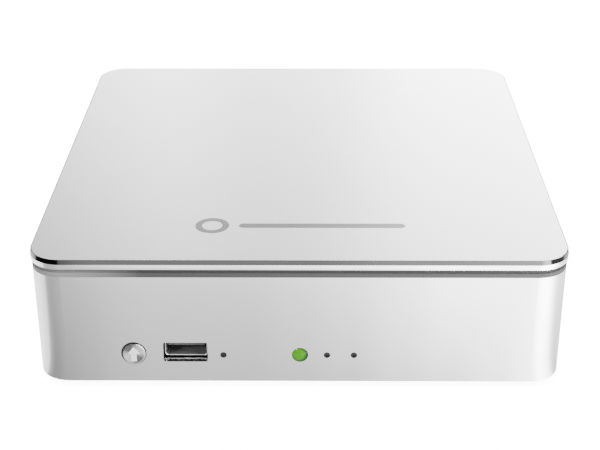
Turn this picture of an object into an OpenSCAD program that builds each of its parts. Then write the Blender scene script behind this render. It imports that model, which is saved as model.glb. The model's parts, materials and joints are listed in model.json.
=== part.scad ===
// Network attached storage: a flat desktop box with one 3.5 inch drive, a main board and a small fan.
// Millimetres. X is right and Y is back, seen from the front. Z is up, and z = 0 is the table under the feet.

/* [Case] */
// Width of the top plate
case_w = 160; // [158:1:175]
// Depth of the top plate
case_d = 165; // [164:1:176]
// Radius of the top plate's upright corners
corner_r = 10; // [8:0.5:11]
// Thickness of the casing's walls
wall = 2.3; // [1.8:0.1:2.5]
// Height of the rubber feet below the casing
foot_h = 2.2; // [1.5:0.1:3]
// Diameter of a rubber foot
foot_d = 11.4; // [8:0.2:11.6]

/* [Front] */
// Diameter of the copy button
button_d = 7.1; // [5:0.1:7.4]
// Travel of the copy button
button_travel = 0.8; // [0.4:0.1:1]
// Diameter of the green power lens
lens_d = 4.6; // [3:0.1:5]
// Diameter of the small light holes
light_hole_d = 2; // [1.5:0.1:2.5]

/* [Rear] */
// Side of the square fan
fan_size = 25; // [25:1:26]
// Number of fan blades
fan_blades = 7; // [5:1:9]
// Number of slots in each row of vents in the base
vent_count = 9; // [5:1:11]

/* [Hidden] */

round_fn = 48;
gap = 0.1;

// Levels, from the table up
casing_z = foot_h;
base_t = 2;
base_top = casing_z + base_t;
pad_top = base_top + 1.4;
board_z = base_top + 3.8;
board_t = 1.6;
board_top = board_z + board_t;
bracket_t = 1.2;
drive_z = 15.4;
drive_size = [147, 101.6, 26.1];
casing_top = 38.1;
groove_h = 2.45;
bead_h = 1.65;
plate_z = casing_top + groove_h + bead_h;
plate_t = 1.6;
plate_top = plate_z + plate_t;

// Casing
casing_inset = 0.4;
casing_size = [case_w - 2 * casing_inset, case_d - 2 * casing_inset];
casing_r = corner_r - casing_inset;
inner_size = [casing_size.x - 2 * wall, casing_size.y - 2 * wall];
inner_r = casing_r - wall;
front_y = -casing_size.y / 2;
front_in = front_y + wall;
rear_y = casing_size.y / 2;
rear_in = rear_y - wall;
side_in = inner_size.x / 2;
trim_w = 3;

// Corner columns, each with one long screw from the base to the top plate
column_at = [66, 73.2];
column_d = 9;
column_top = 36;
screw_d = 3;
foot_seat = 0.6;
screw_head_h = 1.6;

// Rear panel, sunk into its window in the casing
panel_t = 1.2;
panel_y = rear_y - 2.5;
panel_face = panel_y + panel_t;
panel_size = [138.4, 32.4];
panel_z = 20.6;
panel_screw_z = 20;

// Front row
button_at = [-49.7, 12];
button_face = front_y - 0.6;
usb_x = -34.15;
usb_shell = [12.9, 5.6, 14];
usb_skin = 0.25;
usb_z = board_top + usb_shell.y / 2;
usb_setback = 2.8;
front_cutout = [13.4, 6.6];
lens_at = [0.3, 11.55];
light_x = [-22.75, 8.4, 16.5];
light_z = 11.45;
switch_y = -73;
plunger_len = 4;

// Rear row
dc_x = -53;
lan_x = -35;
rear_usb_x = -16;
reset_at = [-3, board_top + 2.2];
fan_at = [24, 23.1];
fan_t = 10;
rocker_at = [49, 23];
rocker_r = 5;
rocker_w = 6.2;
rocker_y = panel_face - 1;
rocker_tilt = 8;
lock_at = [-50, 30];
port_face = panel_face + 0.6;
lan_size = [16, 21, 13.4];
lan_skin = 0.3;

// Main board
board_x = 76;
board_front = -76.5;
board_rear = 78.6;
notch = [60.5, 68.5];
standoff_at = [[-70, -60], [70, -60], [-70, 60], [70, 60], [0, -64], [-9, 62]];
post_at = [[-60, -65.5], [60, -65.5], [-60, 45.5], [60, 45.5]];
post_top = drive_z - bracket_t;
processor_at = [24, 56];
cell_at = [52, -20];

// Hard drive, its connector end to the right
drive_x = [-76.2, 70.8];
drive_y = [-61, 40.6];
drive_mid = (drive_y[0] + drive_y[1]) / 2;
drive_hole_x = [drive_x[1] - 41.28, drive_x[1] - 85.73];
drive_hole_y = [drive_y[0] + 3.18, drive_y[1] - 3.18];
spindle_at = [-24.7, drive_mid];
platter_d = 95;
platter_t = 1.27;
platter_z = [28, 32];
pivot_at = [28.5, 14];
arm_turn = 156.2;
arm_len = 50;
cover_t = 1.2;
drive_top = drive_z + drive_size.z;
plug_y = -30;
tongues = [[-20, -9], [-6.5, 19]];
adapter_x = 74;

module at_each(points) {
    for (p = points) translate([p.x, p.y, 0]) children();
}

module at_corners(p) {
    for (sx = [-1, 1], sy = [-1, 1]) translate([sx * p.x, sy * p.y, 0]) children();
}

module at_panel_screws() {
    for (side = [-1, 1]) translate([side * column_at.x, 0, panel_screw_z]) children();
}

module at_fan_screws() {
    spacing = 20;
    for (sx = [-1, 1], sz = [-1, 1]) translate([sx * spacing / 2, 0, sz * spacing / 2]) children();
}

// A rectangle with true round corners, centred
module rounded_rect(size, r) {
    square([size.x - 2 * r, size.y], center = true);
    square([size.x, size.y - 2 * r], center = true);
    for (sx = [-1, 1], sy = [-1, 1])
        translate([sx * (size.x / 2 - r), sy * (size.y / 2 - r)]) circle(r, $fn = round_fn);
}

module rounded_slab(size, r, z, h) {
    translate([0, 0, z]) linear_extrude(h) rounded_rect(size, r);
}

module box(x, y, z) {
    translate([x[0], y[0], z[0]]) cube([x[1] - x[0], y[1] - y[0], z[1] - z[0]]);
}

module post(d, z0, z1) {
    translate([0, 0, z0]) cylinder(d = d, h = z1 - z0, $fn = round_fn);
}

// A round bar along +Y, from y0 to y1
module bar_y(d, y0, y1) {
    translate([0, y0, 0]) rotate([-90, 0, 0]) cylinder(d = d, h = y1 - y0, $fn = round_fn);
}

// A round bar along X, centred
module bar_x(d, length) {
    rotate([0, 90, 0]) cylinder(d = d, h = length, center = true, $fn = 2 * round_fn);
}

// A slab with rounded corners that faces the front, from y0 to y1
module slab_y(size, y0, y1) {
    translate([0, y1, 0]) rotate([90, 0, 0]) linear_extrude(y1 - y0) rounded_rect(size, 0.6);
}

// A ring that carries the profile drawn in its children round the case, x outward from a corner centre
module swept_ring() {
    run = [case_w / 2 - corner_r, case_d / 2 - corner_r];
    for (turn = [0:3]) {
        here = turn % 2 == 0 ? run : [run.y, run.x];
        rotate([0, 0, 90 * turn]) {
            translate([here.x, here.y, 0])
                rotate_extrude(angle = 90, $fn = 2 * round_fn) children();
            translate([here.x, 0, 0]) rotate([90, 0, 0])
                linear_extrude(2 * here.y, center = true) children();
        }
    }
}

module screw(d, head_d, head_h, length) {
    difference() {
        union() {
            cylinder(d = head_d, h = head_h, $fn = round_fn);
            translate([0, 0, -length]) cylinder(d = d, h = length + head_h / 2, $fn = round_fn);
        }
        for (turn = [0, 90]) rotate([0, 0, turn])
            translate([-head_d * 0.3, -0.3, head_h * 0.5]) cube([head_d * 0.6, 0.6, head_h]);
    }
}

module top_plate() {
    color("silver") difference() {
        union() {
            rounded_slab([case_w, case_d], corner_r, plate_z, plate_t);
            at_corners(column_at) post(8, column_top, plate_z + 0.5);
        }
        at_corners(column_at) post(screw_d + gap, column_top - 1, plate_z - 0.4);
    }
}

module trim_bead() {
    color("gainsboro") swept_ring() translate([corner_r - trim_w, plate_z - bead_h]) {
        square([trim_w - 0.55, bead_h]);
        translate([trim_w - 0.1 - bead_h / 2, bead_h / 2]) circle(bead_h / 2, $fn = round_fn);
    }
}

module trim_groove() {
    hollow_r = 1.9;
    color("dimgray") swept_ring() translate([corner_r - trim_w, casing_top]) difference() {
        square([trim_w - 0.6, groove_h]);
        translate([trim_w - 1.25 + hollow_r, groove_h * 0.56]) circle(hollow_r, $fn = round_fn);
    }
}

module casing() {
    web = 6;
    color("silver") difference() {
        union() {
            difference() {
                rounded_slab(casing_size, casing_r, casing_z, casing_top - casing_z);
                rounded_slab(inner_size, inner_r, casing_z - 1, casing_top - casing_z + 2);
            }
            for (side = [-1, 1]) {
                for (end = [-1, 1])
                    box([side > 0 ? column_at.x : -side_in - 1, side > 0 ? side_in + 1 : -column_at.x],
                        [end * column_at.y - web / 2, end * column_at.y + web / 2], [pad_top, column_top]);
                box([side * column_at.x - 3, side * column_at.x + 3], [column_at.y, panel_y],
                    [panel_screw_z - 4, panel_screw_z + 4]);
            }
            at_corners(column_at) post(column_d, pad_top, column_top);
        }
        at_corners(column_at) post(screw_d + 0.4, pad_top - 1, column_top + 1);
        translate([0, 0, panel_z]) slab_y([panel_size.x + 0.4, panel_size.y + 0.4], panel_y, rear_y + 1);
        at_panel_screws() bar_y(2, panel_y - 4, panel_y + 1);
        translate([button_at.x, 0, button_at.y]) bar_y(button_d + 0.6, front_y - 1, front_in + 1);
        translate([usb_x, 0, usb_z]) slab_y(front_cutout, front_y - 1, front_in + 1);
        translate([lens_at.x, 0, lens_at.y]) bar_y(lens_d + 0.3, front_y - 1, front_in + 1);
        for (x = light_x) translate([x, 0, light_z]) bar_y(light_hole_d, front_y - 1, front_in + 1);
    }
}

module base_cover() {
    slot = [3, 24];
    pitch = 7;
    color("dimgray") difference() {
        union() {
            rounded_slab([inner_size.x - 0.4, inner_size.y - 0.4], inner_r - 0.2, casing_z, base_t);
            at_corners(column_at) post(foot_d - 0.5, base_top - 0.5, pad_top);
            at_each(standoff_at) post(6, base_top - 0.5, board_z);
            at_each(post_at) post(7, base_top - 0.5, post_top);
        }
        at_corners(column_at) {
            post(foot_d + 0.4, casing_z - 1, casing_z + foot_seat);
            post(5.7, casing_z, pad_top - 1.2);
            post(screw_d + 0.4, casing_z, pad_top + 1);
        }
        at_each(standoff_at) post(2.6, base_top - 1, board_z + 1);
        at_each(post_at) post(screw_d + gap, base_top, post_top + 1);
        for (row = [-1, 1], i = [0:vent_count - 1])
            translate([(i - (vent_count - 1) / 2) * pitch, row * 30, casing_z - 1])
                linear_extrude(base_t + 2) rounded_rect(slot, slot.x / 2 - 0.01);
    }
}

module fan_grille() {
    ring_pitch = 3.3;
    for (ring = [1:3]) {
        count = 6 * ring;
        for (i = [0:count - 1]) rotate([0, 360 * i / count, 0])
            translate([ring * ring_pitch, 0, 0]) bar_y(2.5, panel_y - 1, panel_face + 1);
    }
}

module rear_panel() {
    color("darkgray") difference() {
        translate([0, 0, panel_z]) slab_y(panel_size, panel_y, panel_face);
        translate([dc_x, 0, board_top + 5.5]) slab_y([9.4, 11.4], panel_y - 1, panel_face + 1);
        translate([lan_x, 0, board_top + lan_size.z / 2])
            slab_y([lan_size.x + 0.4, lan_size.z + 0.4], panel_y - 1, panel_face + 1);
        translate([rear_usb_x, 0, usb_z])
            slab_y([usb_shell.x + 0.4, usb_shell.y + 0.4], panel_y - 1, panel_face + 1);
        translate([reset_at.x, 0, reset_at.y]) bar_y(2.6, panel_y - 1, panel_face + 1);
        translate([fan_at.x, 0, fan_at.y]) {
            fan_grille();
            at_fan_screws() bar_y(2.2, panel_y - 1, panel_face + 1);
        }
        translate([rocker_at.x, 0, rocker_at.y]) slab_y([8.8, 13.4], panel_y - 1, panel_face + 1);
        translate([lock_at.x, 0, lock_at.y]) slab_y([7, 3], panel_y - 1, panel_face + 1);
        at_panel_screws() bar_y(2.2, panel_y - 1, panel_face + 1);
    }
}

module rubber_feet() {
    color("black") at_corners(column_at) {
        post(foot_d, 0.4, casing_z + foot_seat);
        post(foot_d - 0.8, 0, 1);
    }
}

module case_screws() {
    head_z = pad_top - 1.2;
    length = plate_z - 1.5 - head_z;
    color("silver") at_corners(column_at)
        translate([0, 0, head_z]) rotate([180, 0, 0]) screw(screw_d, 5.4, screw_head_h, length);
}

module panel_screws() {
    color("silver") at_panel_screws() translate([0, panel_face, 0])
        rotate([-90, 0, 0]) screw(1.9, 3.8, 1, 4.6);
}

module copy_button() {
    flange_y = front_in + 0.3;
    color("white") translate([button_at.x, 0, button_at.y]) difference() {
        union() {
            bar_y(button_d, button_face, flange_y + 0.8);
            bar_y(button_d + 2, flange_y, flange_y + 0.8);
            bar_y(3, flange_y, switch_y);
        }
        translate([0, button_face + 0.3, 0]) rotate([90, 0, 0]) linear_extrude(1) arrow(0.02);
    }
}

module arrow(grow) {
    translate([0, -0.4]) {
        polygon([[-1.8 - grow, 0.5 - grow], [1.8 + grow, 0.5 - grow], [0, 2.9 + grow]]);
        translate([-0.85 - grow, -2.1 - grow]) square([1.7 + 2 * grow, 3]);
    }
}

module copy_arrow() {
    color("white") translate([button_at.x, button_face + 0.3, button_at.y])
        rotate([90, 0, 0]) linear_extrude(0.3) arrow(0);
}

module copy_plunger() {
    color("dimgray") translate([button_at.x, 0, button_at.y]) bar_y(3.4, switch_y, switch_y + plunger_len);
}

module copy_switch() {
    size = [6, 7, 5.6];
    color("black") difference() {
        translate([button_at.x - size.x / 2, switch_y + 1, board_top]) cube(size);
        translate([button_at.x, 0, button_at.y])
            bar_y(3.5, switch_y, switch_y + plunger_len + button_travel + 0.4);
    }
}

// A USB-A socket whose mouth is at y = 0 and whose body runs to +Y
module usb_shell_shape() {
    difference() {
        slab_y([usb_shell.x, usb_shell.y], 0, usb_shell.z);
        slab_y([usb_shell.x - 2 * usb_skin, usb_shell.y - 2 * usb_skin], -1, usb_shell.z - usb_skin);
    }
}

module usb_tongue_shape() {
    slack = 2 * usb_skin + 0.1;
    box([-5.5, 5.5], [1.2, usb_shell.z - 4], [0.1, 1.9]);
    slab_y([usb_shell.x - slack, usb_shell.y - slack], usb_shell.z - 4.2, usb_shell.z - usb_skin);
}

module usb_contacts_shape() {
    for (i = [-1.5:1:1.5]) {
        width = 1;
        box([i * 2.3 - width / 2, i * 2.3 + width / 2], [2.2, usb_shell.z - 4.2], [-0.1, 0.1]);
    }
}

module front_usb() {
    translate([usb_x, front_y + usb_setback, usb_z]) children();
}

module rear_usb() {
    translate([rear_usb_x, port_face, usb_z]) rotate([0, 0, 180]) children();
}

module front_usb_shell() {
    color("silver") front_usb() usb_shell_shape();
}

module front_usb_tongue() {
    color("black") front_usb() usb_tongue_shape();
}

module front_usb_contacts() {
    color("gold") front_usb() usb_contacts_shape();
}

module rear_usb_shell() {
    color("silver") rear_usb() usb_shell_shape();
}

module rear_usb_tongue() {
    color("black") rear_usb() usb_tongue_shape();
}

module rear_usb_contacts() {
    color("gold") rear_usb() usb_contacts_shape();
}

module power_lens() {
    dome_r = 3.6;
    rim = 0.1;
    dome_h = dome_r - sqrt(dome_r * dome_r - lens_d * lens_d / 4);
    color("limegreen") translate([lens_at.x, 0, lens_at.y]) {
        intersection() {
            translate([0, front_y - rim - dome_h + dome_r, 0]) sphere(dome_r, $fn = 2 * round_fn);
            bar_y(lens_d, front_y - 2, front_y + 0.2);
        }
        bar_y(lens_d, front_y - rim, front_in + 0.4);
        bar_y(lens_d + 1.6, front_in, front_in + 0.8);
        bar_y(3, front_in + 0.4, board_front + 2.4);
    }
}

module power_led() {
    color("white") box([lens_at.x - 1.6, lens_at.x + 1.6], [board_front + 2.4, board_front + 5.4],
        [board_top, board_top + 3.6]);
}

module light_pipes() {
    color("dimgray") for (x = light_x) translate([x, 0, light_z]) {
        bar_y(light_hole_d - 0.1, front_y + 0.9, front_in + 0.4);
        bar_y(3, front_in, front_in + 0.6);
        bar_y(light_hole_d - 0.1, front_in + 0.5, board_front + 1.6);
    }
}

module status_leds() {
    color("white") for (x = light_x)
        box([x - 0.9, x + 0.9], [board_front + 1.6, board_front + 3.2], [board_top, board_top + 2.8]);
}

module main_board() {
    color("darkgreen") difference() {
        box([-board_x, board_x], [board_front, board_rear], [board_z, board_top]);
        at_corners([notch.x + 10, notch.y + 10])
            translate([-10, -10, board_z - 1]) cube([20, 20, board_t + 2]);
        at_each(standoff_at) post(2.8, board_z - 1, board_top + 1);
        at_each(post_at) post(7.6, board_z - 1, board_top + 1);
    }
}

module board_screws() {
    color("silver") at_each(standoff_at) translate([0, 0, board_top]) screw(2.5, 4.6, 1.6, 5);
}

module processor() {
    color("black") translate([processor_at.x, processor_at.y, board_top]) {
        translate([-9.5, -9.5, 0]) cube([19, 19, 0.6]);
        translate([-8, -8, 0.5]) cube([16, 16, 1]);
    }
}

module heatsink() {
    side = 22;
    fins = 8;
    fin_t = 1;
    color("silver") translate([processor_at.x - side / 2, processor_at.y - side / 2, board_top + 1.5]) {
        cube([side, side, 2]);
        for (i = [0:fins - 1]) translate([i * (side - fin_t) / (fins - 1), 0, 1.5]) cube([fin_t, side, 10]);
    }
}

module memory_chips() {
    color("black") for (y = [47, 59])
        translate([-2.5, y, board_top]) cube([12.5, 10, 1.1]);
}

module flash_chip() {
    color("black") translate([40, 46, board_top]) cube([12, 18.4, 1.1]);
}

module capacitors() {
    color("darkslategray") {
        at_each([[-58, 62], [-48, 62]]) post(8, board_top, board_top + 11.5);
        at_each([[-50, 51], [-41, 51], [56, 66]]) post(6.3, board_top, board_top + 7.7);
    }
}

module inductors() {
    color("dimgray") for (p = [[-68, 52], [42, 69], [-20, 51]])
        translate([p.x - 3.5, p.y - 3.5, board_top]) {
            cube([7, 7, 1]);
            translate([3.5, 3.5, 0]) post(6.4, 0.5, 3.6);
        }
}

module crystal() {
    color("silver") translate([2, 44, board_top + 1.8]) {
        rotate([-90, 0, 0]) linear_extrude(3.6, center = true) rounded_rect([11, 3.6], 1.79);
    }
}

module cell_holder() {
    color("black") translate([cell_at.x, cell_at.y, 0]) difference() {
        post(23, board_top, board_top + 3.6);
        post(20.2, board_top + 0.6, board_top + 5);
        translate([0, -15, board_top + 3.1]) cube([8, 30, 3], center = true);
    }
}

module clock_cell() {
    color("silver") translate([cell_at.x, cell_at.y, 0]) {
        post(20, board_top + 0.6, board_top + 3.2);
        post(17, board_top + 3, board_top + 3.8);
    }
}

// RJ45 socket: the mouth is square with a step for the plug's latch
module lan_mouth(grow, y0, y1) {
    z0 = board_top + 1.6;
    box([lan_x - 5.9 - grow, lan_x + 5.9 + grow], [y0, y1], [z0 + 2 - grow, z0 + 9.2 + grow]);
    box([lan_x - 3.2 - grow, lan_x + 3.2 + grow], [y0, y1], [z0 - grow, z0 + 3]);
}

// The block of the RJ45 socket, with its sides, back and top moved in
module lan_block(side, front, below) {
    half = lan_size.x / 2 - side;
    box([lan_x - half, lan_x + half], [port_face - lan_size.y + side, port_face - front],
        [board_top - below, board_top + lan_size.z - side]);
}

module lan_shell() {
    color("silver") difference() {
        lan_block(0, 0, 0);
        lan_block(lan_skin, lan_skin, 1);
        lan_mouth(0.6, port_face - 1, port_face + 1);
    }
}

module lan_body() {
    color("black") difference() {
        lan_block(lan_skin + 0.02, lan_skin, 0);
        lan_mouth(0, port_face - 13, port_face + 1);
    }
}

module lan_contacts() {
    z0 = board_top + 1.6 + 9.2;
    color("gold") for (i = [-3.5:1:3.5])
        translate([lan_x + i * 1.02, port_face - 13, z0]) rotate([-22, 0, 0])
            translate([-0.2, 0.5 * tan(22), -0.5]) cube([0.4, 8, 0.35]);
}

module lan_transformer() {
    color("black") translate([-36.5, 45, board_top]) {
        cube([12, 10, 4]);
        for (i = [0:4]) translate([1.2 + i * 2.2, -1.2, 0]) cube([0.8, 12.4, 0.5]);
    }
}

module dc_jack() {
    color("black") translate([dc_x, 0, 0]) difference() {
        box([-4.5, 4.5], [port_face - 14.2, port_face], [board_top, board_top + 11]);
        translate([0, 0, board_top + 6.2]) bar_y(6.2, port_face - 11, port_face + 1);
    }
}

module dc_pin() {
    color("silver") translate([dc_x, 0, board_top + 6.2]) {
        bar_y(2, port_face - 11, port_face - 1.4);
        translate([0, port_face - 1.4, 0]) sphere(d = 2, $fn = round_fn);
    }
}

module power_switch() {
    color("black") translate([rocker_at.x, 0, rocker_at.y]) difference() {
        union() {
            slab_y([8.6, 13.2], panel_face - 12, panel_face + 0.1);
            slab_y([10.4, 15], panel_face, panel_face + 1);
            for (z = [-4, 0, 4]) box([-1.6, 1.6], [panel_face - 16, panel_face - 11], [z - 0.4, z + 0.4]);
        }
        box([-rocker_w / 2 - 0.35, rocker_w / 2 + 0.35], [rocker_y - rocker_r - 0.5, panel_face + 2],
            [-rocker_r - 0.4, rocker_r + 0.4]);
        translate([0, rocker_y, 0]) bar_x(1.6, 8);
    }
}

// Drawn with its upper end pressed. It turns about its two side pins
module power_rocker() {
    color("dimgray") translate([rocker_at.x, rocker_y, rocker_at.y]) rotate([rocker_tilt, 0, 0]) {
        difference() {
            bar_x(2 * rocker_r, rocker_w);
            for (end = [-1, 1]) rotate([-end * rocker_tilt, 0, 0])
                translate([-rocker_w, 1.4, end > 0 ? 0 : -2 * rocker_r])
                    cube([2 * rocker_w, 10, 2 * rocker_r]);
        }
        bar_x(1.5, rocker_w + 1.4);
    }
}

module reset_switch() {
    size = [5, 5, 4.4];
    color("black") difference() {
        translate([reset_at.x - size.x / 2, panel_y - 1.6 - size.y, board_top]) cube(size);
        translate([reset_at.x, 0, reset_at.y]) bar_y(1.7, panel_y - 4, panel_y);
    }
}

module reset_button() {
    color("white") translate([reset_at.x, 0, reset_at.y]) bar_y(1.6, panel_y - 3, panel_y + 0.4);
}

module drive_bracket() {
    margin = 12;
    color("silver") difference() {
        union() {
            box([drive_x[0] + 1, drive_x[1]], drive_y, [post_top, drive_z]);
            at_each(post_at) post(9, post_top, drive_z);
            for (p = post_at) {
                near = p.y < 0 ? [p.y, drive_y[0] + 1] : [drive_y[1] - 1, p.y];
                box([p.x - 4.5, p.x + 4.5], near, [post_top, drive_z]);
            }
        }
        box([drive_x[0] + 1 + margin, drive_x[1] - margin], [drive_y[0] + margin, drive_y[1] - margin],
            [post_top - 1, drive_z + 1]);
        at_each(post_at) post(screw_d + gap, post_top - 1, drive_z + 1);
        for (x = drive_hole_x, y = drive_hole_y) translate([x, y, 0]) post(3.8, post_top - 1, drive_z + 1);
    }
}

module bracket_screws() {
    color("silver") at_each(post_at) translate([0, 0, drive_z]) screw(screw_d, 5.6, 1.8, 7);
}

module drive_screws() {
    color("silver") for (x = drive_hole_x, y = drive_hole_y)
        translate([x, y, post_top]) rotate([180, 0, 0]) screw(3.4, 6, 1.8, 4.2);
}

module drive_casting() {
    deck_z = drive_z + 7;
    rim_z = drive_top - cover_t;
    underside = 2.2;
    color("gray") difference() {
        box(drive_x, drive_y, [drive_z, rim_z]);
        difference() {
            union() {
                translate([spindle_at.x, spindle_at.y, 0]) post(platter_d + 2, deck_z, rim_z + 1);
                box([pivot_at.x - 12, drive_x[1] - 9], [drive_y[0] + 6, drive_y[1] - 6], [deck_z, rim_z + 1]);
                box([pivot_at.x - 32, pivot_at.x], [pivot_at.y, drive_y[1] - 6], [deck_z, rim_z + 1]);
            }
            translate([spindle_at.x, spindle_at.y, 0]) post(5, deck_z - 1, 36.2);
            translate([pivot_at.x, pivot_at.y, 0]) post(6, deck_z - 1, 37.4);
        }
        box([drive_x[0] + 8, drive_x[1] - 12], [drive_y[0] + 8, drive_y[1] - 8],
            [drive_z - 1, drive_z + underside]);
        box([drive_x[1] - 7, drive_x[1] + 1], [plug_y - 21.5, plug_y + 21.5], [drive_z - 1, drive_z + 6.6]);
        for (x = drive_hole_x, y = drive_hole_y) translate([x, y, 0]) post(3.5, drive_z - 1, drive_z + 5);
    }
}

module drive_cover() {
    color("silver") box([drive_x[0] + 0.6, drive_x[1] - 0.6], [drive_y[0] + 0.6, drive_y[1] - 0.6],
        [drive_top - cover_t, drive_top]);
}

module drive_platters() {
    color("lightgray") translate([spindle_at.x, spindle_at.y, 0]) for (z = platter_z) difference() {
        post(platter_d, z, z + platter_t);
        post(25, z - 1, z + 3);
    }
}

module drive_hub() {
    low = platter_z[0];
    color("gray") translate([spindle_at.x, spindle_at.y, 0]) difference() {
        union() {
            post(24.96, drive_z + 7.3, 35.6);
            post(31, drive_z + 7.3, low);
            post(31, low + platter_t, platter_z[1]);
            post(31, platter_z[1] + platter_t, 35);
        }
        post(5.1, drive_z + 7, 36);
    }
}

module drive_arm() {
    levels = [[26.2, 27.2], [30.1, 31.2], [34.3, 35.3]];
    neck = arm_len - 12;
    color("silver") translate([pivot_at.x, pivot_at.y, 0]) rotate([0, 0, arm_turn]) difference() {
        union() {
            post(13, drive_z + 7.3, 36.6);
            for (z = levels) translate([0, 0, z[0]]) linear_extrude(z[1] - z[0])
                polygon([[0, -6.3], [neck, -2.4], [arm_len, -1.2], [arm_len, 1.2], [neck, 2.4], [0, 6.3]]);
            for (side = [-1, 1]) rotate([0, 0, 180]) translate([0, 0, 29]) linear_extrude(3) polygon([
                [4, side * 0.4], [9, side * 2.2], [23.5, side * 9.2], [22.6, side * 11], [4, side * 4]
            ]);
        }
        post(6.1, drive_z + 7, 40);
    }
}

module drive_coil() {
    color("orange") translate([pivot_at.x, pivot_at.y, 0]) rotate([0, 0, arm_turn + 180]) {
        translate([0, 0, 29.2]) linear_extrude(2.6) difference() {
            polygon([[9, -2.2], [9, 2.2], [23.5, 9.2], [23.5, -9.2]]);
            polygon([[13, -1.6], [13, 1.6], [20, 5], [20, -5]]);
        }
    }
}

module drive_magnets() {
    color("darkgray") translate([pivot_at.x, pivot_at.y, 0]) {
        intersection() {
            difference() {
                union() {
                    post(56, drive_z + 7, 28);
                    post(56, 33, 36.4);
                }
                post(20, drive_z + 6, 38);
            }
            rotate([0, 0, arm_turn + 180]) linear_extrude(60)
                polygon([[0, 0], for (turn = [-26, 14, 54]) 50 * [cos(turn), sin(turn)]]);
        }
    }
}

module drive_board() {
    color("darkgreen") box([drive_x[0] + 10, drive_x[1] - 14], [drive_y[0] + 10, drive_y[1] - 10],
        [drive_z + 0.4, drive_z + 2.2]);
}

module drive_connector() {
    x = drive_x[1];
    color("black") {
        box([x - 7, x - 4.5], [plug_y - 21.4, plug_y + 21.4], [drive_z + 0.4, drive_z + 6.5]);
        for (t = tongues)
            box([x - 5, x - 0.4], [plug_y + t[0], plug_y + t[1]], [drive_z + 2.9, drive_z + 4.1]);
    }
}

module sata_adapter() {
    x = drive_x[1];
    color("black") difference() {
        box([x - 4, adapter_x], [plug_y - 20.8, plug_y + 20], [drive_z + 1, drive_z + 6]);
        for (t = tongues)
            box([x - 5, x], [plug_y + t[0] - 0.1, plug_y + t[1] + 0.1], [drive_z + 2.8, drive_z + 4.2]);
    }
    color("darkgreen")
        box([adapter_x, adapter_x + 1.6], [plug_y - 24, plug_y + 24], [board_top, drive_z + 9]);
}

module fan_frame() {
    inner = fan_size - 1.6;
    color("black") translate([fan_at.x, panel_y - fan_t, fan_at.y]) {
        difference() {
            slab_y([fan_size, fan_size], 0, fan_t);
            bar_y(inner, -1, fan_t + 1);
            at_fan_screws() bar_y(1.9, -1, fan_t + 1);
        }
        difference() {
            union() {
                bar_y(13, fan_t - 1.4, fan_t - 0.2);
                bar_y(6, 2.4, fan_t - 0.2);
                for (turn = [30:120:270]) rotate([0, turn, 0])
                    box([5, inner / 2 + 0.3], [fan_t - 1.4, fan_t - 0.2], [-0.8, 0.8]);
            }
            bar_y(2.1, 0, fan_t - 0.8);
        }
    }
}

module fan_rotor() {
    tip_r = (fan_size - 1.6) / 2 - 0.5;
    color("black") translate([fan_at.x, panel_y - fan_t, fan_at.y]) {
        difference() {
            bar_y(12.6, 0.6, fan_t - 1.9);
            bar_y(10.6, 1.6, fan_t);
        }
        bar_y(2, 1, fan_t - 1.6);
        intersection() {
            difference() {
                bar_y(2 * tip_r, 0.6, fan_t - 1.9);
                bar_y(12, 0, fan_t);
            }
            for (i = [0:fan_blades - 1]) rotate([0, 360 * i / fan_blades, 0])
                translate([6, fan_t / 2 - 0.7, 0]) rotate([38, 0, 0])
                    translate([0, -6, -0.4]) cube([tip_r, 12, 0.8]);
        }
    }
}

module fan_screws() {
    color("silver") translate([fan_at.x, panel_face, fan_at.y]) at_fan_screws()
        rotate([-90, 0, 0]) screw(1.8, 3.4, 0.9, 6);
}

top_plate();
trim_bead();
trim_groove();
casing();
base_cover();
rear_panel();
rubber_feet();
case_screws();
panel_screws();
copy_button();
copy_arrow();
copy_plunger();
copy_switch();
front_usb_shell();
front_usb_tongue();
front_usb_contacts();
power_lens();
power_led();
light_pipes();
status_leds();
main_board();
board_screws();
processor();
heatsink();
memory_chips();
flash_chip();
capacitors();
inductors();
crystal();
cell_holder();
clock_cell();
lan_shell();
lan_body();
lan_contacts();
lan_transformer();
rear_usb_shell();
rear_usb_tongue();
rear_usb_contacts();
dc_jack();
dc_pin();
power_switch();
power_rocker();
reset_switch();
reset_button();
drive_bracket();
bracket_screws();
drive_screws();
drive_casting();
drive_cover();
drive_platters();
drive_hub();
drive_arm();
drive_coil();
drive_magnets();
drive_board();
drive_connector();
sata_adapter();
fan_frame();
fan_rotor();
fan_screws();
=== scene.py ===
"""Looks of the network attached storage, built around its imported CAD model. Metres, in the CAD frame."""

import json
import math

import bmesh
import bpy
from mathutils import Matrix, Vector


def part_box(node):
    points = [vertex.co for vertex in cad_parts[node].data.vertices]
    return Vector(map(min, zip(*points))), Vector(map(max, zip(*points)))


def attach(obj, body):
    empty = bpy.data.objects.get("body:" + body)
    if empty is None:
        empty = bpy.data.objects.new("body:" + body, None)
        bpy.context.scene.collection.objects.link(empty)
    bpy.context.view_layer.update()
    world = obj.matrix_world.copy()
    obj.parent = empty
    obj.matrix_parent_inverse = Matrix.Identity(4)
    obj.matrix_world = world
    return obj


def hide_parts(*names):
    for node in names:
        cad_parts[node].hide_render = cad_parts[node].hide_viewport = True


MM = 0.001

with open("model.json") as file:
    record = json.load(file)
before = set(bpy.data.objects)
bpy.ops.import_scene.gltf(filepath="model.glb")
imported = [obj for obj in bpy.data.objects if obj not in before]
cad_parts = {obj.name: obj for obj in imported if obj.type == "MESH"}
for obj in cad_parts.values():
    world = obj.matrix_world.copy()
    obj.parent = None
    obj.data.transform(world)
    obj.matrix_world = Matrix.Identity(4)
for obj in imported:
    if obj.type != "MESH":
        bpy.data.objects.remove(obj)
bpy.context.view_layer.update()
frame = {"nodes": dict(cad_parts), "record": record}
nodes = frame["nodes"]


# ---------------------------------------------------------------- shader helpers

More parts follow.
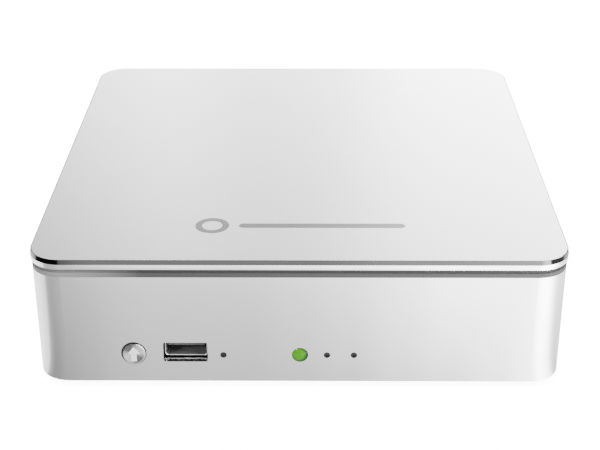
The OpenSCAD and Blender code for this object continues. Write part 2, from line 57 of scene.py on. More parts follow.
class Shader:
    """A node tree and short calls that add and join its nodes."""

    def __init__(self, tree):
        self.tree = tree

    def put(self, socket, value):
        if isinstance(value, bpy.types.NodeSocket):
            self.tree.links.new(value, socket)
        else:
            socket.default_value = value

    def add(self, kind, inputs=None, **settings):
        node = self.tree.nodes.new(kind)
        for key, value in settings.items():
            setattr(node, key, value)
        for key, value in (inputs or {}).items():
            self.put(node.inputs[key], value)
        return node

    def math(self, operation, *values):
        node = self.add("ShaderNodeMath", dict(enumerate(values)), operation=operation)
        return node.outputs[0]

    def place(self):
        return self.add("ShaderNodeTexCoord").outputs["Object"]

    def split(self, vector):
        return self.add("ShaderNodeSeparateXYZ", {0: vector}).outputs

    def noise(self, size, detail=3.0, stretch=(1, 1, 1)):
        """Noise with features of about this size, in metres."""
        where = self.add("ShaderNodeMapping", {"Vector": self.place(), "Scale": stretch}).outputs["Vector"]
        inputs = {"Vector": where, "Scale": 1 / size, "Detail": detail}
        return self.add("ShaderNodeTexNoise", inputs).outputs["Fac"]

    def spread(self, value, low, high, start=0.3, end=0.7):
        """value, taken from start..end to low..high."""
        names = ("Value", "From Min", "From Max", "To Min", "To Max")
        inputs = dict(zip(names, (value, start, end, low, high)))
        return self.add("ShaderNodeMapRange", inputs).outputs["Result"]

    def blend(self, value, low, high):
        """A colour between two colours, by value from 0 to 1."""
        mix = self.add("ShaderNodeMix", data_type="RGBA")
        self.put(mix.inputs[0], value)
        for socket, item in zip(mix.inputs[6:8], (low, high)):
            self.put(socket, item if isinstance(item, bpy.types.NodeSocket) else (*item, 1))
        return mix.outputs[2]

    def bump(self, height, depth, strength=1.0):
        """Bump of this depth, in metres."""
        inputs = {"Height": height, "Distance": depth, "Strength": strength}
        return self.add("ShaderNodeBump", inputs).outputs["Normal"]

    def curve(self, value, stops, scale):
        """A level read from stops of (place from 0 to 1, level), joined smoothly. No level is above scale."""
        node = self.add("ShaderNodeValToRGB", {0: value})
        ramp = node.color_ramp
        ramp.interpolation = "EASE"
        ramp.elements[0].position = stops[0][0]
        ramp.elements[1].position = stops[-1][0]
        for turn, _ in stops[1:-1]:
            ramp.elements.new(turn)
        for element, (_, level) in zip(ramp.elements, stops):
            grey = level / scale
            element.color = (grey, grey, grey, 1)
        return self.math("MULTIPLY", node.outputs["Color"], scale)

    def level(self, value, stops, scale):
        """curve(), with its stops given over the value's own range."""
        low, high = stops[0][0], stops[-1][0]
        turns = [((at - low) / (high - low), amount) for at, amount in stops]
        return self.curve(self.spread(value, 0, 1, low, high), turns, scale)

    def mix(self, share, low, high):
        """A number between two numbers, by share from 0 to 1."""
        return self.add("ShaderNodeMix", {0: share, 2: low, 3: high}).outputs[0]

    def turn_about(self, x, y):
        """Turn from 0 to 1 round the vertical: 0.25 left, 0.5 where y is positive, 0.75 right."""
        return self.math("MULTIPLY_ADD", self.math("ARCTAN2", x, y), 0.5 / math.pi, 0.5)


class Surface(Shader):
    """A material with one principled shader."""

    def __init__(self, name):
        self.material = bpy.data.materials.new(name)
        self.material.use_nodes = True
        super().__init__(self.material.node_tree)
        self.bsdf = self.tree.nodes["Principled BSDF"]

    def set(self, **values):
        for key, value in values.items():
            self.put(self.bsdf.inputs[key.replace("_", " ")], value)


def shade(colour, factor):
    return tuple(min(1.0, c * factor) for c in colour)


def metal(name, colour, roughness, grain=0.3 * MM, depth=0.01 * MM, spread=0.06, stretch=(1, 1, 1), **extra):
    """Bare or plated metal: fine grain, slow cloudiness in colour and gloss."""
    s = Surface(name)
    cloud = s.noise(25 * MM, 2)
    fine = s.noise(grain, 4, stretch)
    s.set(
        Base_Color=s.blend(cloud, shade(colour, 0.97), shade(colour, 1.02)),
        Metallic=1.0,
        Roughness=s.spread(fine, roughness - spread / 2, roughness + spread / 2),
        Normal=s.bump(fine, depth, 0.5),
        **extra,
    )
    return s.material


def plastic(name, colour, roughness, grain=0.25 * MM, depth=0.01 * MM, spread=0.1, **extra):
    """Moulded plastic or rubber: spark-eroded grain and slight wear."""
    s = Surface(name)
    cloud = s.noise(12 * MM, 3)
    fine = s.noise(grain, 3)
    s.set(
        Base_Color=s.blend(cloud, shade(colour, 0.9), shade(colour, 1.08)),
        Roughness=s.spread(fine, roughness - spread / 2, roughness + spread / 2),
        Normal=s.bump(fine, depth, 0.6),
        **extra,
    )
    return s.material


def trim_plastic_with_painted_glint(name, colour, painted_glint):
    """Smooth dark trim, lightened round the left front corner by a painted highlight."""
    s = Surface(name)
    x, y, _ = s.split(s.place())
    along = s.math("ADD", x, HALF_X - CORNER_R)
    back = s.math("ADD", y, HALF_Y - CORNER_R)
    away = s.math("SQRT", s.math("ADD", s.math("POWER", along, 2), s.math("POWER", back, 2)))
    # Painted highlight: the colour is lighter within 16 mm of the left front corner.
    painted_glint_fade = s.spread(away, 0, 1, CORNER_R, CORNER_R + 16 * MM)
    s.set(
        Base_Color=s.blend(painted_glint_fade, shade(colour, painted_glint), colour),
        Roughness=0.55,
        Specular_IOR_Level=0.12,
    )
    return s.material


def circuit_board(name):
    """Solder mask over copper: stepped cells give the traces a faint relief."""
    s = Surface(name)
    inputs = {"Vector": s.place(), "Scale": 1 / (3.2 * MM)}
    cells = s.add("ShaderNodeTexVoronoi", inputs, distance="CHEBYCHEV").outputs["Distance"]
    line = s.spread(s.math("PINGPONG", cells, 0.12), 0, 1, 0.03, 0.05)
    s.set(
        Base_Color=s.blend(line, (0.012, 0.10, 0.045), (0.02, 0.17, 0.07)),
        Roughness=0.35,
        Normal=s.bump(line, 0.03 * MM, 0.6),
    )
    return s.material


def spun_metal_painted_fans(name, centre, rim_r):
    """Turned metal, with painted reflections: two light fans across the face, and a rim painted dark on the
    upper left and light on the lower right.
    """
    s = Surface(name)
    fine = s.noise(0.15 * MM, 4)
    x, _, z = s.split(s.place())
    across = s.math("SUBTRACT", x, centre[0])
    up = s.math("SUBTRACT", z, centre[2])
    out = s.math("SQRT", s.math("ADD", s.math("MULTIPLY", across, across), s.math("MULTIPLY", up, up)))
    round_it = s.math("ARCTAN2", up, across)
    # Painted reflection: two light fans across the face, by angle round the centre.
    painted_fan = s.math("COSINE", s.math("MULTIPLY_ADD", round_it, 2, -2 * math.radians(35)))
    # Painted reflection on the rim: dark on the upper left, light on the lower right.
    rim = s.math("COSINE", s.math("ADD", round_it, -math.radians(145)))
    painted_fan_tone = s.spread(painted_fan, 0.1, 0.95, -0.7, 0.7)
    painted_rim_tone = s.spread(rim, 1, 0, -0.1, 0.5)
    painted_shine_and_grain = s.mix(s.spread(out, 0, 1, 0.86 * rim_r, 0.93 * rim_r), painted_fan_tone, painted_rim_tone)
    painted_shine_and_grain = s.math("MULTIPLY_ADD", fine, 0.1, painted_shine_and_grain)
    tangent = s.add("ShaderNodeTangent", direction_type="RADIAL", axis="Y").outputs[0]
    s.set(
        Base_Color=s.blend(painted_shine_and_grain, (0.06, 0.06, 0.061), (0.84, 0.84, 0.85)),
        Metallic=1.0,
        Roughness=0.3,
        Anisotropic=0.8,
        Tangent=tangent,
    )
    return s.material


def lit_lens(name, centre, rim_r):
    """Green lens with light behind it: it glows, most at the upper left, and darkens to its rim. The glow is
    the LED's own; the darkening, strongest at the lower right, is partly painted shade.
    """
    s = Surface(name)
    x, _, z = s.split(s.place())
    # The centre is set up and left, so the painted shade darkens the lower right most.
    painted_shade_offset = 0.2 * rim_r
    across = s.math("SUBTRACT", x, centre[0] - painted_shade_offset)
    up = s.math("SUBTRACT", z, centre[2] + painted_shade_offset)
    out = s.math("SQRT", s.math("ADD", s.math("MULTIPLY", across, across), s.math("MULTIPLY", up, up)))
    rim = s.spread(out, 0, 1, 0.65 * rim_r, 1.1 * rim_r)
    cloud = s.noise(1.2 * MM, 2)
    s.set(
        Base_Color=s.blend(rim, (0.03, 0.12, 0.0), (0.004, 0.03, 0.002)),
        Roughness=s.spread(cloud, 0.05, 0.12),
        Specular_IOR_Level=0.25,
        Emission_Color=(0.03, 0.27, 0.0, 1),
        Emission_Strength=s.spread(rim, 1.0, 0.0, 0, 1),
    )
    return s.material


plate_low, plate_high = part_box("top_plate")
HALF_X = plate_high[0]
HALF_Y = plate_high[1]
CORNER_R = 10 * MM


def middle(node):
    """Centre of a CAD node's box."""
    low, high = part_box(node)
    return (Vector(low) + Vector(high)) / 2


button_at = middle("copy_button")
BUTTON_R = 3.55 * MM
lens_at = middle("power_lens")
LENS_R = 2.3 * MM

SATIN = {
    "colour": (0.80, 0.80, 0.805),
    "roughness": 0.2,
    "grain": 0.12 * MM,
    "depth": 0.002 * MM,
    "spread": 0.04,
}
BRIGHT = {"grain": 0.5 * MM, "depth": 0.001 * MM, "spread": 0.03}
POLISHED = {"grain": 0.4 * MM, "depth": 0.0005 * MM, "spread": 0.02}

MATERIALS = {
    "plate_silver": metal("plate_silver", **SATIN),
    "bead_chrome": metal("bead_chrome", (0.96, 0.96, 0.96), 0.14, **BRIGHT),
    # Lower groove band: its own dark colour, with a painted highlight round the left front corner.
    "groove_chrome": trim_plastic_with_painted_glint("groove_chrome", (0.06, 0.06, 0.061), 3.4),
    "case_silver": metal("case_silver", **SATIN),
    "base_grey": plastic("base_grey", (0.045, 0.045, 0.05), 0.55),
    "panel_steel": metal("panel_steel", (0.42, 0.42, 0.43), 0.35, stretch=(0.1, 1, 1)),
    "foot_rubber": plastic("foot_rubber", (0.018, 0.018, 0.018), 0.75, grain=0.5 * MM, depth=0.03 * MM),
    "screw_steel": metal("screw_steel", (0.22, 0.22, 0.225), 0.25),
    # Copy button: painted reflection in fans on the face and on the rim.
    "button_clear": spun_metal_painted_fans("button_clear", button_at, BUTTON_R),
    "arrow_white": plastic("arrow_white", (0.9, 0.9, 0.9), 0.3, depth=0.001 * MM),
    "switch_black": plastic("switch_black", (0.02, 0.02, 0.02), 0.45),
    "reset_white": plastic("reset_white", (0.7, 0.7, 0.66), 0.4),
    "connector_steel": metal("connector_steel", (0.85, 0.85, 0.85), 0.45),
    "connector_black": plastic("connector_black", (0.09, 0.09, 0.092), 0.4),
    "contact_gold": metal("contact_gold", (0.85, 0.62, 0.25), 0.25),
    "pin_nickel": metal("pin_nickel", (0.7, 0.7, 0.68), 0.2),
    "lens_green": lit_lens("lens_green", lens_at, LENS_R),
    "led_white": plastic("led_white", (0.8, 0.8, 0.75), 0.3),
    "pipe_smoked": plastic("pipe_smoked", (0.01, 0.01, 0.012), 0.15),
    "board_green": circuit_board("board_green"),
    "chip_black": plastic("chip_black", (0.02, 0.02, 0.02), 0.5),
    "heatsink_aluminium": metal("heatsink_aluminium", (0.65, 0.65, 0.66), 0.4, stretch=(1, 0.05, 1)),
    "capacitor_sleeve": plastic("capacitor_sleeve", (0.02, 0.03, 0.07), 0.25),
    "ferrite_grey": plastic("ferrite_grey", (0.06, 0.06, 0.065), 0.6),
    "can_steel": metal("can_steel", (0.66, 0.66, 0.66), 0.25),
    "bracket_steel": metal("bracket_steel", (0.58, 0.59, 0.60), 0.35),
    "drive_cast": metal("drive_cast", (0.30, 0.30, 0.31), 0.5, grain=0.8 * MM, depth=0.05 * MM),
    "drive_lid": metal("drive_lid", (0.62, 0.62, 0.63), 0.3, stretch=(0.05, 1, 1)),
    "platter_mirror": metal("platter_mirror", (0.8, 0.8, 0.81), 0.05, depth=0.0, spread=0.01),
    "hub_metal": metal("hub_metal", (0.7, 0.7, 0.71), 0.25),
    "coil_copper": metal("coil_copper", (0.75, 0.35, 0.15), 0.35),
    "magnet_nickel": metal("magnet_nickel", (0.6, 0.6, 0.6), 0.22),
    "fan_black": plastic("fan_black", (0.015, 0.015, 0.015), 0.45),
}
EDGE_POLISH = metal("edge_polish", (0.145, 0.145, 0.147), 0.07, **POLISHED)
# Darker trim colour: painted shade on the groove's set-back strip and a painted dark reflection on the
# plate's side bevels, both with the painted highlight round the left front corner.
PAINTED_SHADE_SMOKE = trim_plastic_with_painted_glint("painted_shade_smoke", (0.04, 0.04, 0.041), 3.4)
MARK_POLISH = metal("mark_polish", (0.18, 0.18, 0.182), 0.2, grain=0.3 * MM, depth=0.001 * MM, spread=0.04)


# ---------------------------------------------------------------- mesh helpers

def finish_piece(name, body, bm, materials, sharp=35, stands_for=()):
    """Turns a bmesh into a piece that rides on a body, with its finish and the nodes it stands for."""
    bmesh.ops.recalc_face_normals(bm, faces=bm.faces)
    mesh = bpy.data.meshes.new(name)
    bm.to_mesh(mesh)
    bm.free()
    mesh.polygons.foreach_set("use_smooth", [True] * len(mesh.polygons))
    mesh.set_sharp_from_angle(angle=math.radians(sharp))
    for material in materials:
        mesh.materials.append(material)
    piece = bpy.data.objects.new(name, mesh)
    bpy.context.collection.objects.link(piece)
    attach(piece, body)
    if stands_for:
        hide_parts(*stands_for)
    return piece


def rounded_loop(half_x, half_y, radius, z, steps=16):
    """Points round a rectangle with round corners, anticlockwise."""
    points = []
    for quarter, (sx, sy) in enumerate(((1, 1), (-1, 1), (-1, -1), (1, -1))):
        for step in range(steps + 1):
            angle = math.pi / 2 * (quarter + step / steps)
            points.append((
                sx * (half_x - radius) + radius * math.cos(angle),
                sy * (half_y - radius) + radius * math.sin(angle),
                z,
            ))
    return points


def bridge(bm, loops, material_of=lambda i: 0, closed=False):
    """Joins rings of vertices one after the other with quads."""
    rings = [[bm.verts.new(p) for p in loop] for loop in loops]
    pairs = list(zip(rings, rings[1:] + rings[:1])) if closed else list(zip(rings, rings[1:]))
    for index, (low, high) in enumerate(pairs):
        count = len(low)
        for i in range(count):
            j = (i + 1) % count
            face = bm.faces.new((low[i], low[j], high[j], high[i]))
            face.material_index = material_of(index)
    return rings


def arc(centre, radius, start, end, steps):
    """Points on an arc, in degrees."""
    turns = [math.radians(start + (end - start) * i / steps) for i in range(steps + 1)]
    return [(centre[0] + radius * math.cos(t), centre[1] + radius * math.sin(t)) for t in turns]


def lathe(bm, profile, place, steps=48, material_of=lambda i: 0):
    """Turns a profile of (radius, along) about a line. place maps (x, y, along) to the frame."""
    loops = []
    for radius, along in profile:
        turns = [2 * math.pi * i / steps for i in range(steps)]
        loops.append([place(radius * math.cos(t), radius * math.sin(t), along) for t in turns])
    rings = bridge(bm, loops, material_of)
    for ring in (rings[0], rings[-1]):
        bm.faces.new(ring)


# ---------------------------------------------------------------- top plate, trim and mark

bead_low, bead_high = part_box("trim_bead")
PLATE_TOP = plate_high[2]
BEAD_BASE = bead_low[2]
GROOVE_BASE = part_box("trim_groove")[0][2]
PLATE_BASE = bead_high[2]


def inset_loop(inset, z):
    """A loop round the case, moved in from the plate's side."""
    return rounded_loop(HALF_X - inset, HALF_Y - inset, CORNER_R - inset, z)


def add_top_plate():
    """Satin plate: a polished edge that leans back, a bevel on both sides coloured dark as a painted
    reflection, four screw bosses beneath.
    """
    silver, polish, dark = 0, 1, 2
    lean = 0.27 * MM
    ease = 0.04 * MM
    bevel_drop = 0.1 * MM
    bevel_width = 0.36 * MM
    column_x, column_y = 66 * MM, 73.2 * MM
    boss_at = [(sx * column_x, sy * column_y) for sx in (-1, 1) for sy in (-1, 1)]
    profile = [
        (1.2 * MM, PLATE_BASE),
        (0.08 * MM, PLATE_BASE),
        (0, PLATE_BASE + 0.08 * MM),
        (lean, PLATE_TOP - ease),
        (lean + ease, PLATE_TOP),
        (lean + 0.6 * MM, PLATE_TOP),
    ]
    loops = [inset_loop(*p) for p in profile]
    steps = len(loops[0]) // 4 - 1
    turns = [math.pi / 2 * (quarter + step / steps) for quarter in range(4) for step in range(steps + 1)]
    # The bevel is full on the sides and fades out to the plain edge in front and behind
    below, above = loops[3], loops[4]
    for i, turn in enumerate(turns):
        share = math.cos(turn) ** 2
        x, y, z = below[i]
        below[i] = (x, y, z - share * bevel_drop)
        x, y, z = above[i]
        above[i] = (x - share * bevel_width * math.cos(turn), y - share * bevel_width * math.sin(turn), z)
    bm = bmesh.new()
    rings = bridge(bm, loops, lambda i: (silver, polish, polish, dark, silver)[i])
    # Painted dark reflection: bevel faces near the sides take the dark trim colour.
    painted_dark_from = HALF_X - 0.3 * CORNER_R
    for face in bm.faces:
        if face.material_index == dark and abs(face.calc_center_median().x) < painted_dark_from:
            face.material_index = silver
    bm.faces.new(rings[-1])
    bm.faces.new(rings[0])
    for x, y in boss_at:
        base = plate_low[2]
        boss = [
            (1.55 * MM, PLATE_BASE - 0.4 * MM),
            (1.55 * MM, base + 0.2 * MM),
            (1.75 * MM, base),
            (3.8 * MM, base),
            (4 * MM, base + 0.2 * MM),
            (4 * MM, PLATE_BASE + 0.2 * MM),
        ]
        lathe(bm, boss, lambda a, b, along, x=x, y=y: (x + a, y + b, along), 32)
    materials = (MATERIALS["plate_silver"], EDGE_POLISH, PAINTED_SHADE_SMOKE)
    finish_piece("plate", "chassis", bm, materials, 20, ("top_plate",))


def add_trim_bead():
    """Bright band under the plate, a little crowned, with round edges."""
    proud = 0.1 * MM
    inner = 3 * MM
    height = PLATE_BASE - BEAD_BASE
    crown = 0.015 * MM
    steps = 8
    profile = [(inner, BEAD_BASE), (proud + 0.35 * MM, BEAD_BASE)]
    for i in range(steps + 1):
        rise = i / steps
        profile.append((proud + crown * (2 * rise - 1) ** 2, BEAD_BASE + height * (0.06 + 0.93 * rise)))
    profile += [(proud + 0.3 * MM, PLATE_BASE), (inner, PLATE_BASE)]
    bm = bmesh.new()
    bridge(bm, [inset_loop(*p) for p in profile], closed=True)
    finish_piece("bead", "chassis", bm, (MATERIALS["bead_chrome"],), 45, ("trim_bead",))


def add_trim_groove():
    """Dark band between bead and casing: a strip set back, coloured darker as painted shade, and one below it
    that laps the casing.
    """
    inner = 3 * MM
    casing_face = 0.4 * MM
    face = 0.37 * MM
    lap = 0.12 * MM
    back = 0.75 * MM
    split = GROOVE_BASE + 1.25 * MM
    ease = 0.1 * MM
    profile = [
        (inner, GROOVE_BASE),
        (casing_face, GROOVE_BASE),
        (casing_face, GROOVE_BASE - lap),
        (face, GROOVE_BASE - lap),
        (face, split - ease),
        (face + ease, split),
        (back, split),
        (back, BEAD_BASE),
        (inner, BEAD_BASE),
    ]
    bm = bmesh.new()
    # The set-back strip takes the darker trim colour: painted shade.
    bridge(bm, [inset_loop(*p) for p in profile], lambda i: 1 if i == 6 else 0, closed=True)
    materials = (MATERIALS["groove_chrome"], PAINTED_SHADE_SMOKE)
    finish_piece("groove", "chassis", bm, materials, 35, ("trim_groove",))


def add_plate_mark():
    """A plain ring and bar, let into the plate near its front."""
    low, high = PLATE_TOP - 0.05 * MM, PLATE_TOP + 0.02 * MM
    line_y = -59.7 * MM
    ring_at = (-26.6 * MM, line_y)
    ring_steps = 64
    bm = bmesh.new()
    band = [(3.1 * MM, low), (3.1 * MM, high), (5.2 * MM, high), (5.2 * MM, low)]
    loops = []
    for radius, z in band:
        circle = arc(ring_at, radius, 0, 360, ring_steps)[:-1]
        loops.append([(x, y, z) for x, y in circle])
    bridge(bm, loops, closed=True)
    half = 1.5 * MM
    start, end = -18.5 * MM, 32.3 * MM
    outline = arc((end - half, line_y), half, -90, 90, 12) + arc((start + half, line_y), half, 90, 270, 12)
    rings = bridge(bm, [[(x, y, z) for x, y in outline] for z in (low, high)])
    for ring in rings:
        bm.faces.new(ring)
    finish_piece("plate_mark", "chassis", bm, (MARK_POLISH,), 35)


# ---------------------------------------------------------------- front pieces

def add_copy_button():
    """Dished cap with a rolled rim, its flange behind the wall and the stem to the switch."""
    low, high = (Vector(v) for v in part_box("copy_button"))
    centre = (low + high) / 2
    cap_r = BUTTON_R
    flange_r = (high.x - low.x) / 2
    face = low.y
    rim = 0.4 * MM
    dish = 0.2 * MM
    dish_r = cap_r - rim
    flange = 3.2 * MM
    profile = [(0.02 * MM, dish)]
    profile += [(dish_r * share, dish * (1 - share ** 2)) for share in (0.25, 0.5, 0.75, 0.9, 1)]
    profile += [(dish_r + r, rim + y) for r, y in arc((0, 0), rim, -75, 0, 6)]
    profile += [(cap_r, flange), (flange_r, flange), (flange_r, flange + 0.8 * MM)]
    profile += [(1.5 * MM, flange + 0.8 * MM), (1.5 * MM, high.y - face)]
    bm = bmesh.new()
    lathe(bm, profile, lambda a, b, along: (centre.x + a, face + along, centre.z + b), 64)
    finish_piece(
        "button_cap", "copy_button", bm, (MATERIALS["button_clear"],), 40, ("copy_button",)
    )


def add_usb_socket(name, node, outward):
    """Rolled steel shell of a USB socket, its inner walls coloured dark as painted shade, save the side walls
    near the mouth. outward: the way its mouth faces along Y, -1 or 1.
    """
    low, high = (Vector(v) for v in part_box(node))
    centre = middle(node)
    half_x, half_z = (high.x - low.x) / 2, (high.z - low.z) / 2
    mouth = high.y if outward > 0 else low.y
    skin = 0.25 * MM
    ease = 0.06 * MM
    round_r = 0.9 * MM
    steel_depth = 5 * MM
    depth = high.y - low.y
    profile = [
        (0, depth),
        (0, ease),
        (ease, 0),
        (skin - ease, 0),
        (skin, ease),
        (skin, steel_depth),
        (skin, depth - skin),
    ]
    loops = []
    for inset, back in profile:
        loop = rounded_loop(half_x - inset, half_z - inset, round_r - inset, mouth - outward * back, 6)
        loops.append([(centre.x + x, y, centre.z + z) for x, z, y in loop])
    bm = bmesh.new()
    # Inner walls past the mouth take the dark connector colour: painted shade inside the steel shell.
    rings = bridge(bm, loops, lambda i: 1 if i >= 4 else 0)
    bm.faces.new(rings[0])
    bm.faces.new(rings[-1]).material_index = 1
    bm.normal_update()
    for face in bm.faces:
        is_side_wall = abs(face.normal.x) > 0.9
        is_near_mouth = abs(face.calc_center_median().y - mouth) < steel_depth
        if is_side_wall and is_near_mouth:
            face.material_index = 0
    materials = (MATERIALS["connector_steel"], MATERIALS["connector_black"])
    finish_piece(name, "chassis", bm, materials, 40, (node,))


# ---------------------------------------------------------------- finishing the CAD pieces

def soften(thing, width):
    """Rounds a CAD piece's sharp edges."""
    thing.modifiers.new("weld", "WELD").merge_threshold = 0.002 * MM
    bevel = thing.modifiers.new("edges", "BEVEL")
    bevel.width = width
    bevel.segments = 2
    bevel.limit_method = "ANGLE"
    bevel.angle_limit = math.radians(40)


# Width of the rounded edges on CAD pieces, in mm
SOFT_EDGES = {
    "rear_panel": 0.15,
    "base_cover": 0.3,
    "rubber_feet": 0.5,
    "case_screws": 0.15,
    "panel_screws": 0.15,
    "fan_screws": 0.15,
    "reset_button": 0.2,
    "copy_arrow": 0.03,
    "front_usb_tongue": 0.12,
    "rear_usb_tongue": 0.12,
    "lan_shell": 0.12,
    "lan_body": 0.15,
    "dc_jack": 0.35,
    "dc_pin": 0.2,
    "power_switch": 0.35,
    "power_rocker": 0.25,
    "fan_frame": 0.2,
    "fan_rotor": 0.15,
    "light_pipes": 0.15,
    "drive_casting": 0.4,
    "drive_cover": 0.3,
    "drive_bracket": 0.2,
    "heatsink": 0.15,
    "capacitors": 0.3,
    "main_board": 0.1,
    "processor": 0.15,
}

for entry in frame["record"]["subparts"]:
    piece = nodes[entry["node"]]
    piece.data.materials.clear()
    piece.data.materials.append(MATERIALS[entry["material_slot"]])

for name, width in SOFT_EDGES.items():
    soften(nodes[name], width * MM)

add_top_plate()
add_trim_bead()
add_trim_groove()
add_plate_mark()
add_copy_button()
add_usb_socket("front_usb_socket", "front_usb_shell", -1)
add_usb_socket("rear_usb_socket", "rear_usb_shell", 1)


# ---------------------------------------------------------------- floor, lights and camera

# Levels of light that the floor throws on the front, by the place along it (mm) where it shows
FRONT_LIGHT = [
    (-70, 0.85), (-63, 1.05), (-54, 1.35), (-42, 1.55), (-15, 1.6), (0, 2.0), (15, 2.6), (30, 4.0),
    (45, 5.9), (60, 6.2), (70, 6.7),
]
# Share of that level that is left close to the box
NEAR_SHARE = [(-70, 0.75), (-15, 0.72), (0, 0.64), (30, 0.55), (45, 0.47), (60, 0.64), (70, 0.9)]
# Share of it where the bead under the plate shows the floor
BEAD_SHARE = [(-70, 1.45), (0, 1.55), (30, 1.25), (70, 1.1)]
# Levels of light beyond each front corner, by the angle round it: 0 ahead, 90 beside the box, 180 behind it
LEFT_LIGHT = [
    (11, 0.82), (30, 0.68), (48, 0.6), (60, 0.68), (70, 2.0),
    (80, 2.3), (100, 2.9), (160, 3.0), (200, 1.4), (270, 1.2),
]
RIGHT_LIGHT = [
    (11, 7.5), (28, 13.8), (40, 14), (53, 11.8), (64, 8),
    (75, 4.4), (92, 2.8), (145, 2.4), (200, 1.4), (270, 1.2),
]
# Shares of those levels that are left close to the box
LEFT_NEAR = [(11, 0.75), (40, 0.72), (60, 1.1), (110, 1.15), (270, 0.9)]
RIGHT_NEAR = [(11, 0.9), (50, 0.72), (80, 0.55), (110, 0.8), (270, 0.9)]
# Levels of the floor far from the box, which the plate's leaning edge shows, by turn: 0.5 is ahead of the box
FAR_LIGHT = [
    (0.0, 1.5), (0.28, 1.5), (0.295, 0.02), (0.44, 0.02), (0.449, 1.4), (0.5, 1.5), (0.53, 2.7), (0.56, 4.2),
    (0.59, 9.5), (0.618, 9.5), (0.63, 0.35), (0.725, 0.35), (0.745, 1.5), (1.0, 1.5),
]
# Levels of the studio round the object, by turn: 0.25 left, 0.5 behind it, 0.75 right
STUDIO_LIGHT = [
    (0.0, 0.8), (0.25, 0.5), (0.46, 1.3), (0.474, 2.3), (0.482, 3.15), (0.492, 2.25), (0.502, 2.65),
    (0.515, 5.3), (0.54, 6.4), (0.75, 3.0), (1.0, 0.8),
]
# Share of that level by height, from the horizon to overhead
STUDIO_HEIGHT = [(0.0, 0.4), (0.2, 0.6), (0.29, 2.8), (0.36, 1.45), (0.45, 0.76), (0.55, 0.42), (1.0, 0.3)]
# Highest level that each set of stops may hold
FLOOR_TOP = 15
FAR_TOP = 12
STUDIO_TOP = 12
SHARE_TOP = 2
WHITE_SEEN = 20.0
CAMERA_AT = Vector((3.5, -421.0, 223.4)) * MM


def floor_light(s):
    """Light from the floor, set out by where the front and its corners show each spot to the camera."""
    x, y, _ = s.split(s.place())
    side = s.math("ABSOLUTE", x)
    eye_x = CAMERA_AT.x
    to_front = -HALF_Y - CAMERA_AT.y
    behind = s.math("SUBTRACT", to_front - HALF_Y, y)
    shown = s.math("MULTIPLY_ADD", s.math("DIVIDE", s.math("SUBTRACT", x, eye_x), behind), to_front, eye_x)
    along = s.math("DIVIDE", shown, MM)
    across = s.math("SUBTRACT", side, HALF_X - CORNER_R)
    ahead = s.math("SUBTRACT", -(HALF_Y - CORNER_R), y)
    angle = s.math("DIVIDE", s.math("ARCTAN2", across, ahead), math.radians(1))
    angle = s.math("WRAP", angle, 270, -90)
    beside = s.math("MAXIMUM", s.math("SUBTRACT", side, HALF_X), 0)
    before = s.math("MAXIMUM", s.math("SUBTRACT", s.math("ABSOLUTE", y), HALF_Y), 0)
    away = s.math("SQRT", s.math("ADD", s.math("POWER", beside, 2), s.math("POWER", before, 2)))

    near = s.spread(away, 0, 1, 5 * MM, 60 * MM)
    near_share = s.mix(near, s.level(along, NEAR_SHARE, 1), 1.0)
    bright = s.mix(s.spread(away, 0, 1, 70 * MM, 78 * MM), 1.0, s.level(along, BEAD_SHARE, SHARE_TOP))
    front = s.math("MULTIPLY", s.level(along, FRONT_LIGHT, FLOOR_TOP), s.math("MULTIPLY", near_share, bright))

    corners = []
    for levels, near_levels in ((LEFT_LIGHT, LEFT_NEAR), (RIGHT_LIGHT, RIGHT_NEAR)):
        share = s.mix(near, s.level(angle, near_levels, SHARE_TOP), 1.05)
        corners.append(s.math("MULTIPLY", s.level(angle, levels, FLOOR_TOP), share))
    corner = s.mix(s.math("GREATER_THAN", x, 0), *corners)
    close = s.mix(s.math("GREATER_THAN", angle, 11), front, corner)
    turn = s.turn_about(x, s.math("MULTIPLY", y, -1))
    return s.mix(s.spread(away, 0, 1, 130 * MM, 160 * MM), close, s.curve(turn, FAR_LIGHT, FAR_TOP))


def floor_material():
    """White paper: the camera sees it white, faintly shaded under the box, and it lights the object."""
    s = Surface("floor_white")
    shadow = s.add("ShaderNodeAmbientOcclusion", {"Distance": 8 * MM}, samples=8).outputs["AO"]
    seen_white = s.spread(shadow, 0.5 * WHITE_SEEN, WHITE_SEEN, 0, 1)
    seen = s.add("ShaderNodeLightPath").outputs["Is Camera Ray"]
    s.set(Base_Color=(0, 0, 0, 1), Specular_IOR_Level=0.0, Roughness=1.0)
    s.set(Emission_Color=(1, 1, 1, 1), Emission_Strength=s.mix(seen, floor_light(s), seen_white))
    return s.material


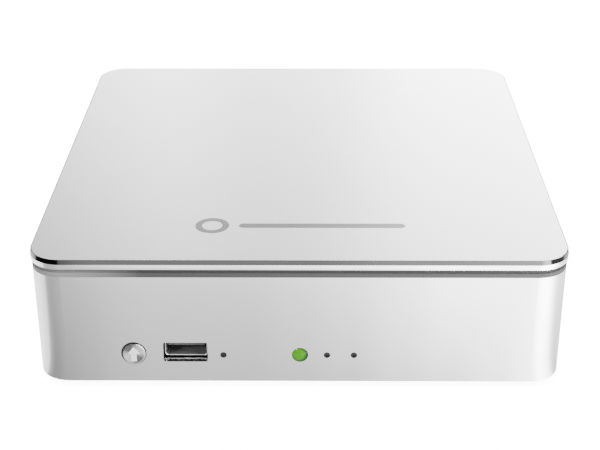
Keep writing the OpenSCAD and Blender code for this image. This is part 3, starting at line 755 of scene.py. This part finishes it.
def add_floor(size=6.0):
    mesh = bpy.data.meshes.new("floor")
    half = size / 2
    corners = [(-half, -half, 0), (half, -half, 0), (half, half, 0), (-half, half, 0)]
    mesh.from_pydata(corners, [], [(0, 1, 2, 3)])
    floor = bpy.data.objects.new("floor", mesh)
    bpy.context.collection.objects.link(floor)
    mesh.materials.append(floor_material())


def add_world():
    """A white studio, brighter behind and to the right, and brightest some way above the horizon."""
    world = bpy.data.worlds.new("studio")
    bpy.context.scene.world = world
    world.use_nodes = True
    s = Shader(world.node_tree)
    x, y, z = s.split(s.add("ShaderNodeTexCoord").outputs["Generated"])
    round_it = s.curve(s.turn_about(x, y), STUDIO_LIGHT, STUDIO_TOP)
    level = s.math("MULTIPLY", round_it, s.curve(z, STUDIO_HEIGHT, STUDIO_TOP))
    seen = s.add("ShaderNodeLightPath").outputs["Is Camera Ray"]
    strength = s.mix(seen, level, WHITE_SEEN)
    back = world.node_tree.nodes["Background"]
    s.put(back.inputs["Color"], (1, 1, 1, 1))
    s.put(back.inputs["Strength"], strength)


def add_softbox(name, place, aim, size, power):
    lamp = bpy.data.lights.new(name, "AREA")
    lamp.shape = "RECTANGLE"
    lamp.size, lamp.size_y = size
    lamp.energy = power
    box = bpy.data.objects.new(name, lamp)
    box.location = place
    box.rotation_euler = (Vector(aim) - Vector(place)).to_track_quat("-Z", "Y").to_euler()
    bpy.context.collection.objects.link(box)


def add_camera():
    """Above the front, looking down at the box, a little short of square on."""
    pitch, yaw, roll = math.radians(26.40), math.radians(0.525), math.radians(-0.147)
    camera = bpy.data.objects.new("camera", bpy.data.cameras.new("camera"))
    camera.data.lens = 79.32
    camera.data.sensor_width = 36
    camera.data.clip_start = 0.01
    aim = Matrix.Rotation(yaw, 4, "Z") @ Matrix.Rotation(math.pi / 2 - pitch, 4, "X")
    camera.matrix_world = Matrix.Translation(CAMERA_AT) @ aim @ Matrix.Rotation(roll, 4, "Z")
    bpy.context.collection.objects.link(camera)
    bpy.context.scene.camera = camera


add_floor()
add_world()
add_softbox("key", (0.95, -0.95, 1.3), (0, 0, 0), (0.4, 0.4), 40)
add_softbox("window", (-0.9, -1.2, 0.9), (0, 0, 0), (0.25, 0.25), 20)
add_camera()
